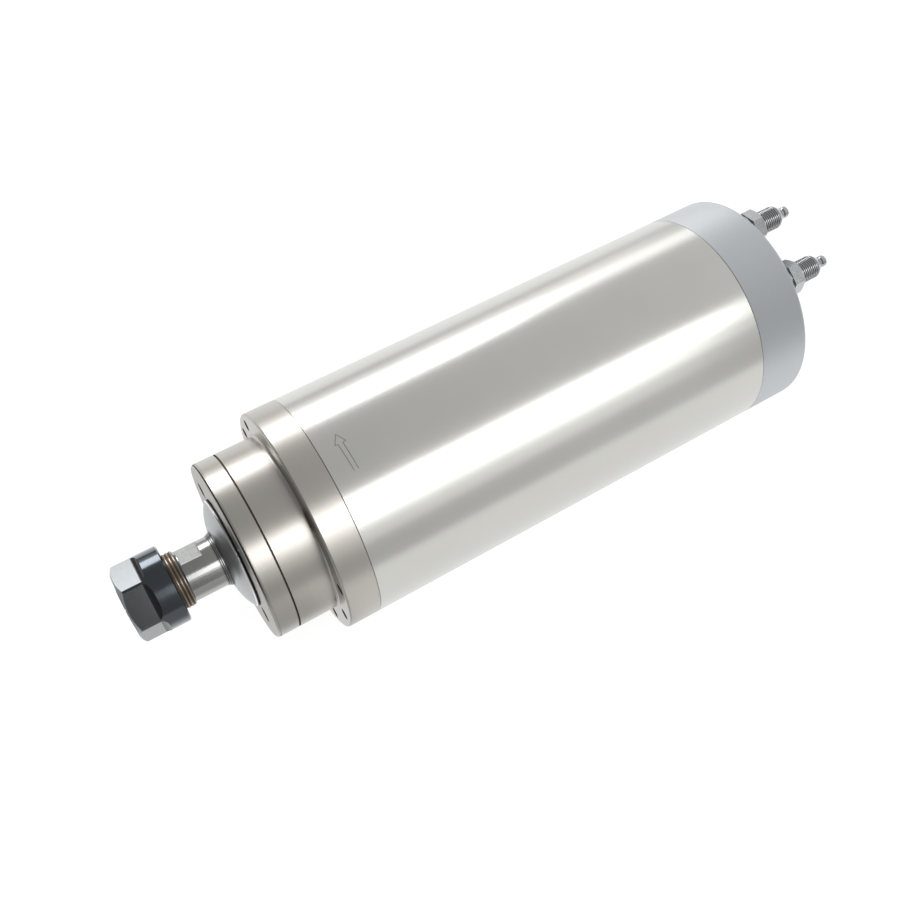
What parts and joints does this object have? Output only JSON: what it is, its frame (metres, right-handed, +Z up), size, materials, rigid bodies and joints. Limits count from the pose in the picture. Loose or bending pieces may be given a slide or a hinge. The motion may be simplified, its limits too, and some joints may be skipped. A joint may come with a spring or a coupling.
{
  "type": "motor spindle",
  "caption": "Water-cooled electric motor spindle: round ground body, stepped nose, rotating dust slinger, collet with hexagon clamping nut, hose fittings and power connector behind.",
  "frame": {"origin": "on the spindle axis, in the ring face between the 80 mm nose and the 100 mm body", "axes": "+X along the axis from the tool end to the rear, +Z up, +Y away from the seen side"},
  "size_m": [0.3373, 0.1, 0.1],
  "materials": {
    "front_steel": "fine turned, warm grey",
    "ground_stainless": "ground round, semi-bright",
    "cover_aluminium": "satin",
    "jacket_aluminium": "machined",
    "shaft_steel": "ground and polished",
    "nut_black_oxide": "black oxide with ground flats",
    "collet_steel": "ground",
    "bearing_steel": "polished",
    "lamination": "stacked sheet",
    "copper": "enamelled wire",
    "cast_aluminium": "cast",
    "seal_rubber": "matt black",
    "plated_brass": "nickel plated",
    "connector_metal": "satin plated",
    "insulator": "moulded",
    "contact_metal": "gold plated",
    "screw_steel": "black oxide"
  },
  "bodies": {
    "housing": {"front_housing": "front_steel", "front_bearing_cap": "front_steel", "body_sleeve": "ground_stainless", "water_jacket": "jacket_aluminium", "jacket_seal_rings": "seal_rubber", "stator_core": "lamination", "stator_windings": "copper", "front_bearing_a_outer_ring": "bearing_steel", "front_bearing_b_outer_ring": "bearing_steel", "rear_bearing_a_outer_ring": "bearing_steel", "rear_bearing_b_outer_ring": "bearing_steel", "front_outer_spacer": "shaft_steel", "preload_disc_spring": "shaft_steel", "rear_bearing_housing": "jacket_aluminium", "rear_cover": "cover_aluminium", "water_fitting_a": "plated_brass", "water_fitting_b": "plated_brass", "fitting_washers": "plated_brass", "connector_shell": "connector_metal", "connector_insert": "insulator", "power_contacts": "contact_metal", "front_cap_screws": "screw_steel", "rear_cover_screws": "screw_steel", "connector_screws": "screw_steel"},
    "spindle": {"spindle_shaft": "shaft_steel", "dust_slinger": "shaft_steel", "rotor_core": "lamination", "rotor_end_rings": "cast_aluminium", "front_bearing_a_inner_ring": "bearing_steel", "front_bearing_b_inner_ring": "bearing_steel", "front_inner_spacer": "shaft_steel", "rear_bearing_a_inner_ring": "bearing_steel", "rear_bearing_b_inner_ring": "bearing_steel", "front_lock_nut": "screw_steel", "rear_lock_nut": "screw_steel"},
    "front_balls": {"front_ball_sets": "bearing_steel"},
    "rear_balls": {"rear_ball_sets": "bearing_steel"},
    "collet_body": {"collet": "collet_steel"},
    "nut_body": {"collet_nut": "nut_black_oxide"}
  },
  "joints": [
    {"name": "spindle_spin", "type": "hinge", "parent": "housing", "child": "spindle", "pos_m": [0, 0, 0], "axis": [1, 0, 0], "continuous": true},
    {"name": "front_balls_orbit", "type": "hinge", "parent": "housing", "child": "front_balls", "pos_m": [0, 0, 0], "axis": [1, 0, 0], "continuous": true},
    {"name": "rear_balls_orbit", "type": "hinge", "parent": "housing", "child": "rear_balls", "pos_m": [0.197, 0, 0], "axis": [1, 0, 0], "continuous": true},
    {"name": "collet_travel", "type": "slide", "parent": "spindle", "child": "collet_body", "axis": [-1, 0, 0], "range_m": [0, 0.003]},
    {"name": "nut_turn", "type": "hinge", "parent": "collet_body", "child": "nut_body", "pos_m": [-0.0653, 0, 0], "axis": [-1, 0, 0], "range_deg": [0, 720]}
  ],
  "couplings": [
    {"joint": "front_balls_orbit", "follows": "spindle_spin", "ratio": 0.4168},
    {"joint": "rear_balls_orbit", "follows": "spindle_spin", "ratio": 0.4146},
    {"joint": "nut_turn", "follows": "collet_travel", "rad_per_m": 4188.8}
  ]
}
